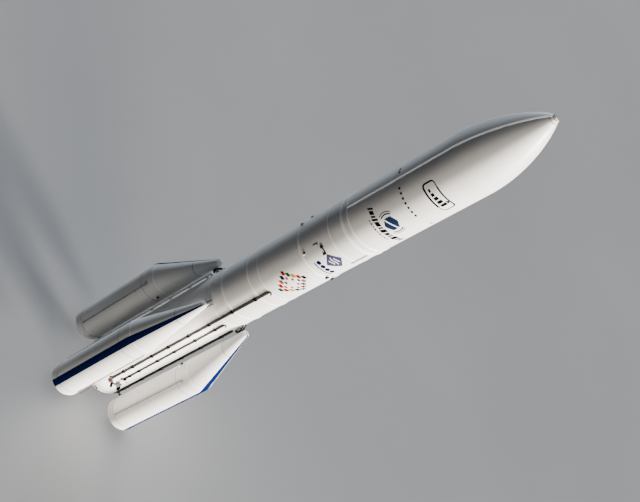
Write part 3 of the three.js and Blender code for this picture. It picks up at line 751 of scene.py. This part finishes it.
def forward_fitting(name, angle):
    """Two black hooks from the nose cone's inner side up to the core, narrow at their upper ends, and a white
    link between them."""
    inner, outer = CORE_R + 0.004, BOOSTER_TIP_AXIS - BOOSTER_TIP_R - 0.004
    path = [(inner + 0.16, 20.94), (outer - 0.075, 21.1), (outer - 0.075, 21.5), (inner + 0.06, 22.2)]
    hook = bar(rounded(path, 0.12, 6), 0.13, (0.14, 0.24, 0.24, 0.18, 0.06))
    hooks = [moved(hook, shift=(0, y, 0)) for y in (-0.18, 0.2)]
    make_piece(name + "fitting_hooks", hooks, "fitting", [angle], replaces=[name + "forward_fitting"])
    link = [(inner, 20.96), (outer, 21.02), (outer, 21.4), (inner, 21.6), (inner, 20.96)]
    upright = [[1, 0, 0], [0, 0, -1], [0, 1, 0]]
    link = moved(prism(rounded(link, 0.04)[:-1], -0.05, 0.06, 0.02), matrix=upright)
    pad = raised(0.05, 0.4, 0.6, 0.03, inner + 0.02, 0, 21.2)
    make_piece(name + "fitting_link", [link, pad], "seam", [angle])
    pins = [rod((r, -0.24, z), (r, 0.24, z), 0.045) for r, z in ((inner + 0.16, 21.98), (outer - 0.08, 21.2))]
    make_piece(name + "fitting_pins", pins, "steel", [angle])


def aft_fitting(name, angle):
    """Two rods from feet on the core up to feet on the booster's skirt, pinned where they cross."""
    inner, outer = CORE_R + 0.014, BOOSTER_AXIS - BOOSTER_R - 0.014
    middle = (inner + outer) / 2
    rods = [rod((inner, -y, 0.7), (outer, y, 0.9), 0.06) for y in (-0.15, 0.15)]
    feet = [raised(0.05, 0.15, 0.18, 0.02, r, y, z)
            for r, z in ((inner + 0.025, 0.72), (outer - 0.025, 0.88)) for y in (-0.15, 0.15)]
    make_piece(name + "tie_rods", rods + feet, "fitting", [angle], replaces=[name + "aft_fitting"])
    make_piece(name + "tie_pin", [rod((middle, 0, 0.66), (middle, 0, 0.94), 0.06)], "steel", [angle])


# Raceways and pipes on the core

def raceways():
    for name, (angle, low, high, width, depth, heights) in RACEWAYS.items():
        joints = [low, *heights, high]
        covers = [cover(width, depth, a + 0.01, b - 0.01, CORE_R + STANDOFF, 0.05)
                  for a, b in zip(joints, joints[1:])]
        covers.append(raised(0.05, 0.6 * width, high - low - 0.1, 0.01, CORE_R + 0.02, 0, (low + high) / 2))
        if name == "side":
            covers.append(cover(0.14, 0.1, 0.35, low + 0.05, CORE_R + STANDOFF, 0.38))
        make_piece(f"raceway_{name}_covers", covers, "cover" if name == "side" else "cable", [angle],
                   replaces=[f"raceway_{name}"])
        reach = STANDOFF + depth + 0.025
        places = [CORE_R, angle, np.array(heights)]
        clamp = raised(reach, width + 0.08, 0.26, 0.03, reach / 2)
        make_piece(f"raceway_{name}_clamps", [repeated(clamp, *places)], "black")
        feet = [raised(0.03, width + 0.24, 0.12, 0.01, 0.01)]
        feet += [moved(bolt(0.022, 0.02), shift=(0.025, side * (width / 2 + 0.08), 0)) for side in (-1, 1)]
        make_piece(f"raceway_{name}_feet", [repeated(part, *places) for part in feet], "core")


def upper_ends():
    """Elbows that lead the cables from the raceways' upper ends into the wall."""
    path = rounded([(0, -0.2), (0, 0.16), (0.26, 0.16), (0.36, -0.1)], 0.16, 6)
    elbow = moved(piped(path, 0.055), matrix=SIDEWAYS)
    ends = [(RACEWAYS[name][0], (CORE_R + 0.05, 0, RACEWAYS[name][2])) for name in ("long", "short", "back")]
    make_piece("raceway_upper_ends", [moved(elbow, *end) for end in ends], "cover")


def connectors():
    """Connectors at the raceways' lower ends: hoops, round bodies on pads, dark plugs and bent lines."""
    def plug(width, length):
        return raised(width, width, length, 0.05, 0.6 * width)

    def line(points):
        return moved(piped(rounded(points, 0.15, 5), 0.045), shift=(0.07, 0, 0), matrix=SIDEWAYS)

    eye = wall_hoop(0.1, 0.21, 0.1, 0.02, 32)
    for name, finish, places in (  # a place is a part, its angle, its height and its tilt
            ("rings", "grey", [(boss(0.3, 0.03, 32), -95.6, 2.98), (eye, -82.0, 3.44),
                               (boss(0.36, 0.03, 32), -76.0, 2.94), (eye, -84.5, 4.42),
                               (boss(0.08, 0.06, 32), -68.0, 3.96),
                               (raised(0.16, 0.12, 0.34, 0.03, 0.08), -42.0, 2.4)]),
            ("bronze_bodies", "bronze", [(eye, -100.6, 3.46), (boss(0.2, 0.2, 32), -95.6, 2.98)]),
            ("putty_bodies", "putty", [(boss(0.24, 0.2, 32), -76.0, 2.94),
                                       (raised(0.12, 0.18, 0.84, 0.03, 0.08), -79.0, 3.08, -40),
                                       (boss(0.16, 0.08, 32), -80.0, 4.4)]),
            ("plugs", "black", [(plug(0.27, 0.54), -87.0, 2.6, 25), (plug(0.26, 0.58), -68.5, 2.46, 12),
                                (plug(0.24, 0.3), -82.2, 4.76)]),
            ("lines", "grey", [
                (line([(0.25, 0.52), (0.05, 0.44), (-0.08, 0.1), (0.0, -0.3), (0.1, -0.7)]), -84.0, 4.2),
                (line([(-0.2, 0.12), (0.0, 0.05), (0.3, 0.0), (0.5, 0.2)]), -91.0, 2.95)])):
        make_piece("connector_" + name, [on_core(*place) for place in places], finish)
    # A black bead round the core's lower edge: painted shade, a dark line where the rim's shadow falls.
    make_piece("core_aft_edge_painted_shade", [bead(0.09, 0.16, 0.008)], "black")


def pipes():
    feed = rounded([(2.68, 0.7), (2.95, 0.7), (2.95, 21.06), (2.68, 21.06)], 0.3, 8)
    make_piece("feed_line_tube", [piped(feed, 0.11, 24)], "seam", [FEED_ANGLE], replaces=["feed_line"])
    clip, heights = raised(0.26, 0.3, 0.08, 0.02, 0.16), [1.6, 4.8, 8.0, 11.2, 14.4, 17.6, 20.4]
    make_piece("feed_line_clips", [repeated(clip, CORE_R, FEED_ANGLE, heights)], "steel")
    vent = rounded([(2.68, 0.5), (2.91, 0.5), (2.91, -2.1)], 0.2, 8)
    bush = rod((2.91, 0, 0.12), (2.91, 0, 0.24), 0.09)
    make_piece("vent_pipe_tube", [piped(vent, 0.055, 20), bush], "steel", [VENT_PIPE_ANGLE],
               replaces=["vent_pipe"])
    line = moved(rod((2.78, -0.04, 0.5), (2.75, 0.42, 0.42), 0.055), VENT_PIPE_ANGLE)
    make_piece("vent_pipe_line", [line, moved(block(0.1, 0.1, 0.2), -95.3, (2.74, 0, 0.4))], "fitting")


# Small fittings on the interstage and the upper stage

def upper_fittings():
    bow = [(x, 0.07 * math.sin(4 * x)) for x in np.linspace(0, 0.62, 12)]
    stub = moved(boss(0.05, 0.15, 20), shift=(0, 0, 0.08))
    thruster = raised(0.16, 0.24, 0.34, 0.05, 0.07)
    nozzle = turned(rounded([(0, 0), (0.04, 0), (0.1, 0.2), (0, 0.2)], 0.01), 20)
    nozzle = moved(nozzle, shift=(0.09, 0, -0.3))
    # Two pods joined by a bar
    pods = [(raised(0.12, 0.24, 0.3, 0.05, 0.05), -125.4, 37.4), (stub, -125.4, 37.4),
            (raised(0.12, 0.18, 0.38, 0.05, 0.05), -112.0, 37.28), (stub, -112.0, 37.28)]
    # A lone thruster, a bent line beside it, and the pair low on the lit side
    lone, pair = (-130.6, 35.28), ((-62.5, 34.98), (-47.0, 34.8))
    bent = ribbon(rounded([(0, 0), (0, 0.6), (0.16, 0.52)], 0.05), 0.06, -135.0, 36.5, top=0.03)
    pad = raised(0.08, 0.3, 0.14, 0.03, 0.03, 0, 0.24)
    # Small housings on the shaded side
    housing, shaded = raised(0.14, 0.22, 0.4, 0.05, 0.06), ((164.0, 35.0), (149.0, 35.8))
    dark = [*(on_core(*pod) for pod in pods), ribbon(bow, 0.1, -125.4, 37.36, top=0.06),
            on_core(raised(0.12, 0.17, 0.18, 0.04, 0.05), *lone), bent,
            *(on_core(part, *place) for place in pair for part in (thruster, nozzle)),
            on_core(raised(0.1, 0.18, 0.2, 0.03, 0.1, 0, -0.1), *shaded[0])]
    pale = [on_core(raised(0.08, 0.1, 0.16, 0.03, 0.03, 0.1, -0.16), *lone),
            *(on_core(pad, *place) for place in pair), *(on_core(housing, *place) for place in shaded)]
    make_piece("upper_stage_dark_fittings", dark, "fitting")
    make_piece("upper_stage_pale_fittings", pale, "seam")
    # The duct shares the raceways' grey paint, a painted shade on white.
    make_piece("upper_stage_duct", [cover(0.22, 0.05, 38.15, 40.15, CORE_R, 0.2)], "grey_cover_painted_shade", [-63.0])


# Painted designs

def arc(radius, start, end):
    a = np.radians(np.linspace(start, end, 16))
    return np.column_stack([radius * np.cos(a), radius * np.sin(a)])


def polygon(sides, radius, start=90.0):
    a = around(sides, start)
    loop = np.column_stack([radius * np.cos(a), radius * np.sin(a)])
    middle = (loop[:1] + loop[-1:]) / 2
    return rounded(np.concatenate([middle, loop, middle]), 0.12 * radius, 4)[:-1]


def along_sides(corners, count):
    """Points in equal shares along the four sides of a closed outline."""
    spots = np.linspace(0, 4, count + 1)[:-1]
    return np.column_stack([np.interp(spots, range(5), np.asarray(corners)[:, i]) for i in (0, 1)])


def tile(width, height, slant=0.0):
    w, h = width / 2, height / 2
    outline = along_sides([(-w, -h), (w, -h), (w, h), (-w, h), (-w, -h)], 16)
    outline[:, 0] += slant * outline[:, 1]
    return outline


def painted():
    """Shapes of every ink, and the pale lines on top of them. The place in use is an angle and a height."""
    shapes, pale = {key: [] for key in INKS}, []

    def paint(colour, outline, x, y):
        shapes[colour].append(patch(outline + [x, y], *place))

    def line(colour, path, width):
        shapes[colour].append(ribbon(path, width, *place))

    # Rhombus of plain tiles on the interstage
    place = (-91.0, 31.85)
    colours = ["green", "red", "sky", "orange", "black", "red", "yellow", "green", "red", "navy", "orange",
               "red", "green", "red", "yellow", "navy"]
    spots = along_sides([(1.25, 0), (0, 1.6), (-1.25, 0), (0, -1.6), (1.25, 0)], len(colours))
    for colour, (x, y) in zip(colours, spots):
        paint(colour, tile(0.42, 0.36, 0.35), x, y)
    for i in range(0, len(colours), 2):
        paint(colours[(i + 5) % len(colours)], tile(0.28, 0.22), *(0.55 * spots[i]))

    # Slate diamond with three pale waves on the upper stage, a row of navy hexagons and a line under it
    place = (-90.0, 37.4)
    paint("slate", polygon(4, 0.95, 0), 0, 0)
    for k in (-1, 0, 1):
        reach = 0.5 - 0.2 * abs(k)
        wave = [(x, 0.3 * k + 0.07 * math.sin(6 * x)) for x in np.linspace(-reach, reach, 20)]
        pale.append(ribbon(wave, 0.07, *place, top=2 * INK))
    place = (-86.0, 36.02)
    for k in range(4):
        paint("navy", polygon(6, 0.25, 30), 0.5 * (k - 1.5), 0)
    place = (-86.0, 35.6)
    line("navy", [(x, 0) for x in np.linspace(-0.95, 0.95, 20)], 0.13)

    # Blue hexagon with a pale slash and two pairs of arcs on the fairing, two rows of bars under it
    place = (-101.0, 45.05)
    paint("blue", polygon(6, 0.74, 30), 0, 0)
    slash = [(x, -0.22 + 0.5 * (x + 0.4)) for x in np.linspace(-0.66, 0.66, 16)]
    pale.append(ribbon(slash, 0.1, -101.0, 45.0, top=2 * INK))
    for start in (-35, 145):
        for radius, width in ((0.94, 0.11), (1.14, 0.07)):
            line("black", arc(radius, start, start + 70), width)
    widths = [0.16, 0.34, 0.16, 0.2, 0.44, 0.16, 0.34, 0.3, 0.18, 0.42, 0.2, 0.3]
    x = -sum(widths) / 2 - 0.045 * len(widths)
    place = (-98.0, 43.88)
    for i, width in enumerate(widths):
        paint("black", tile(width, 0.44 if i % 3 else 0.58, 0.3), x + width / 2, 0)
        x += width + 0.1
    place = (-100.0, 43.34)
    for i, x in enumerate(np.linspace(-1.1, 1.1, 9)):
        paint("grey", tile(0.2, 0.17 if i % 2 else 0.11), x, 0)

    # Open frame on the fairing: a black and a teal bracket, a teal triangle, five bars of rising height
    bracket = rounded([(-0.6, 0.62), (-1.45, 0.62), (-1.45, -0.62), (0.8, -0.62)], 0.35, 8)
    place = (-102.0, 50.35)
    line("black", bracket, np.linspace(0.1, 0.19, len(bracket)))
    line("teal", -bracket, np.linspace(0.09, 0.17, len(bracket)))
    paint("teal", polygon(3, 0.24), 0.75, 0.42)
    place = (-102.0, 50.3)
    for k in range(5):
        paint("black", tile(0.3, 0.22 + 0.1 * k), 0.4 * (k - 2), -0.16 + 0.04 * k)

    for colour, parts in shapes.items():
        make_piece("design_" + colour, parts, colour)
    make_piece("design_pale_lines", pale, "seam")


# Engine and booster nozzles

def bell_radius(n, z):
    """The bell opens from its throat as the 0.62th power of the share of its length."""
    u = np.clip((n["throat"] - z) / (n["throat"] - n["exit"]), 0, 1)
    return n["throat_r"] + (n["exit_r"] - n["throat_r"]) * u ** 0.62


def bell(n, bands, top, sides):
    """A bell: its bore up to a plug in the throat, and its outside with hoops, up to a closed top."""
    low = n["exit"]
    bore_z = low + (n["throat"] - low) * (1 - np.linspace(1, 0, 40) ** 2)
    bore = np.column_stack([bell_radius(n, bore_z), bore_z])[::-1]
    outer_r = n["exit_r"] + n["wall"] + 0.02
    outer = [(n["exit_r"] + 0.5 * n["wall"], low), (outer_r, low + 0.02), (outer_r, low + 0.1)]
    for z in bands:
        for dz, proud in ((-0.05, 0), (-0.025, 0.022), (0.025, 0.022), (0.05, 0)):
            outer.append((float(bell_radius(n, z + dz)) + n["wall"] + proud, z + dz))
    rise_z = np.linspace(bands[-1] + 0.1, top, 24)
    rise = np.column_stack([bell_radius(n, rise_z) + n["wall"], rise_z])
    return turned(np.concatenate([[(0, n["throat"] - 0.001)], bore, outer, rise, [(0, top)]]), sides)


def quilt(rows, columns, share, spin):
    """A quilt's swell between its stitches, 0 to 1: the root of the product of two sines."""
    return np.sqrt(np.abs(np.sin(rows * math.pi * share) * np.sin(columns * spin / 2)))


def dish(n, quilt_rows, quilt_columns, puff=0.009):
    """The shield round the bell: a spherical shell about the pivot, its outside a quilt, from where it meets
    the bell to past the seat's mouth at every swing."""
    end = math.degrees(math.asin(n["mouth"] / n["seat"])) + n["swing"] * math.sqrt(2) + 1
    angles = np.linspace(4, end, 400)
    at = np.radians(angles)
    inside = n["seat"] * np.sin(at) < bell_radius(n, n["pivot"] - n["seat"] * np.cos(at)) + 0.5 * n["wall"]
    a = np.radians(np.linspace(angles[inside].max(), end, 60))[:, None]
    spin = around(144)[None]
    radius = n["seat"] - puff + puff * quilt(quilt_rows, quilt_columns, (a - a[0]) / (a[-1] - a[0]), spin)
    face = swept(radius * np.sin(a), spin, n["pivot"] - radius * np.cos(a))
    back_r = n["seat"] - n["wall"]
    back = swept(back_r * np.sin(a[::-1]), spin, n["pivot"] - back_r * np.cos(a[::-1]))
    return grid_part(np.concatenate([face, back]), loop=True)


def quilted_ring(inner, outer, low, thick, rows, columns):
    """A padded ring under the base, its lower side a quilt."""
    share, spin = np.linspace(0, 1, 10 * rows + 1)[:, None], around(288)[None]
    radius = inner + (outer - inner) * share
    face = swept(radius, spin, low - 0.3 * thick - 0.7 * thick * quilt(rows, columns, share, spin))
    back = swept(radius[[-1, 0]], spin, low + 0.01)
    return grid_part(np.concatenate([face, back]), loop=True)


def nozzles():
    make_piece("engine_bell", [bell(ENGINE, (-1.15, -0.8, -0.45), 0.4, 128)], "bell", body="engine",
               replaces=["engine_nozzle"])
    make_piece("engine_shield_dish", [dish(ENGINE, 4, 24)], "blanket", body="engine")
    make_piece("core_base_blanket", [quilted_ring(1.27, 2.6, 0.0, 0.05, 5, 40)], "blanket")
    mouth = [(1.232, 0.012), (1.232, -0.02), (1.3, -0.035), (1.3, 0.012)]
    make_piece("core_base_collar", [hoop(mouth, 0.01, 160)], "steel")
    ring = [(0.945, 0.005), (0.945, -0.01), (1.02, -0.01), (1.02, 0.005)]
    for number, angle in BOOSTER_ANGLES.items():
        name, place = f"booster_{number}_", (angle, (BOOSTER_AXIS, 0, 0))
        body = name + "nozzle"
        make_piece(name + "bell", [bell(BOOSTER_NOZZLE, (-0.5,), 0.3, 96)], "composite", place, body, [body])
        make_piece(name + "shield_dish", [dish(BOOSTER_NOZZLE, 3, 18)], "blanket", place, body)
        make_piece(name + "base_collar", [hoop(ring, 0.004, 96)], "steel", place)


def dress_nodes():
    """Finishes for the frame's nodes that stay: the closed-in ones in steel and the skirts in white."""
    closed_in = ["engine_ring", "engine_block"] + [f"booster_{i}_bearing_ring" for i in BOOSTER_ANGLES]
    skirts = ["core_aft_skirt"] + [f"booster_{i}_aft_skirt" for i in BOOSTER_ANGLES]
    for finish, nodes in (("steel", closed_in), ("core", skirts)):
        for node in nodes:
            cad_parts[node].data.materials.clear()
            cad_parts[node].data.materials.append(FINISHES[finish])


# Floor, light and camera

def direction(angle, elevation=0.0):
    a, e = math.radians(angle), math.radians(elevation)
    return Vector((math.cos(a) * math.cos(e), math.sin(a) * math.cos(e), math.sin(e)))


def floor():
    """A flat sheet under the rocket's lowest point, as wide as the camera sees."""
    out, side = direction(CAMERA_ANGLE), direction(CAMERA_ANGLE + 90)
    corners = [(out * x + side * y) * M + Vector((0, 0, cad_box[0][2] - 0.02))
               for x, y in ((FLOOR_FAR, -FLOOR_LEFT), (FLOOR_NEAR, -FLOOR_LEFT), (FLOOR_NEAR, FLOOR_RIGHT),
                            (FLOOR_FAR, FLOOR_RIGHT))]
    mesh = bpy.data.meshes.new("floor")
    mesh.from_pydata(corners, [], [(0, 1, 2, 3)])
    f = Finish("floor_pale", (0.48, 0.50, 0.53), 0.8)
    f.paint(f.ramp(f.noise(0.05, 3), [(0.3, (0.46, 0.48, 0.51)), (0.7, (0.50, 0.52, 0.55))]))
    mesh.materials.append(f.material)
    add("floor", mesh)


def lamp(name, kind, strength, colour, toward, place, **settings):
    """A lamp at a place, that shines against the direction toward it."""
    data = bpy.data.lights.new(name, kind)
    data.energy = strength
    data.color = colour
    for key, value in settings.items():
        setattr(data, key, value)
    source = add(name, data)
    source.location = place
    source.rotation_mode = "QUATERNION"
    source.rotation_quaternion = toward.to_track_quat("Z", "Y")


def studio():
    """Four distant lamps round the rocket, an upright strip of light in front of it and a dim sky."""
    for name, angle, elevation, strength, softness, colour in (
            ("key", -31, 3, 20.0, 11.5, (1.0, 0.94, 0.87)), ("side", -62, 3, 4.3, 26, (1.0, 0.91, 0.80)),
            ("rim", 100, 6, 3.2, 16, (0.74, 0.86, 1.0)), ("top", -90, 80, 0.45, 30, (0.92, 0.96, 1.0))):
        toward = direction(angle, elevation)
        lamp(name, "SUN", strength, colour, toward, toward * 60, angle=math.radians(softness))
    toward, low, high = direction(-84), 1.0, 19.5
    lamp("front_strip", "AREA", 230, (1.0, 0.94, 0.88), toward,
         (toward * 15.0 + Vector((0, 0, (low + high) / 2))) * M, shape="RECTANGLE", size=1.5 * M,
         size_y=(high - low) * M, spread=math.radians(18))
    world = bpy.data.worlds.new("studio")
    bpy.context.scene.world = world
    world.use_nodes = True
    background = world.node_tree.nodes["Background"]
    background.inputs["Color"].default_value = (0.75, 0.8, 0.88, 1)
    background.inputs["Strength"].default_value = 0.078


def camera():
    """The photo's camera: it stands high in front, looks down at the rocket and is rolled."""
    out, side, up = direction(CAMERA_ANGLE), direction(CAMERA_ANGLE + 90), Vector((0, 0, 1))
    down, pan, roll = (math.radians(x) for x in (CAMERA_DOWN, CAMERA_PAN, CAMERA_ROLL))
    flat = out * (math.cos(down) * math.cos(pan)) + side * (math.cos(down) * math.sin(pan))
    ahead = -flat - up * math.sin(down)
    level = ahead.cross(up).normalized()
    over = level.cross(ahead)
    c, s = math.cos(roll), math.sin(roll)
    axes = (level * c + over * s, over * c - level * s, -ahead)
    data = bpy.data.cameras.new("camera")
    data.sensor_width = 36.0
    data.lens = data.sensor_width * CAMERA_FOCUS_PX / IMAGE_WIDTH_PX
    data.clip_end = 1000
    eye = add("camera", data)
    eye.matrix_world = (Matrix.Translation((out * CAMERA_REACH + up * CAMERA_HEIGHT) * M)
                        @ Matrix(axes).transposed().to_4x4())
    bpy.context.scene.camera = eye


core()
fairing()
for number, angle in BOOSTER_ANGLES.items():
    booster(f"booster_{number}_", (angle, (BOOSTER_AXIS, 0, 0)), off_band(number))
    forward_fitting(f"booster_{number}_", angle)
    aft_fitting(f"booster_{number}_", angle)
raceways()
upper_ends()
connectors()
pipes()
upper_fittings()
painted()
nozzles()
dress_nodes()
floor()
studio()
camera()
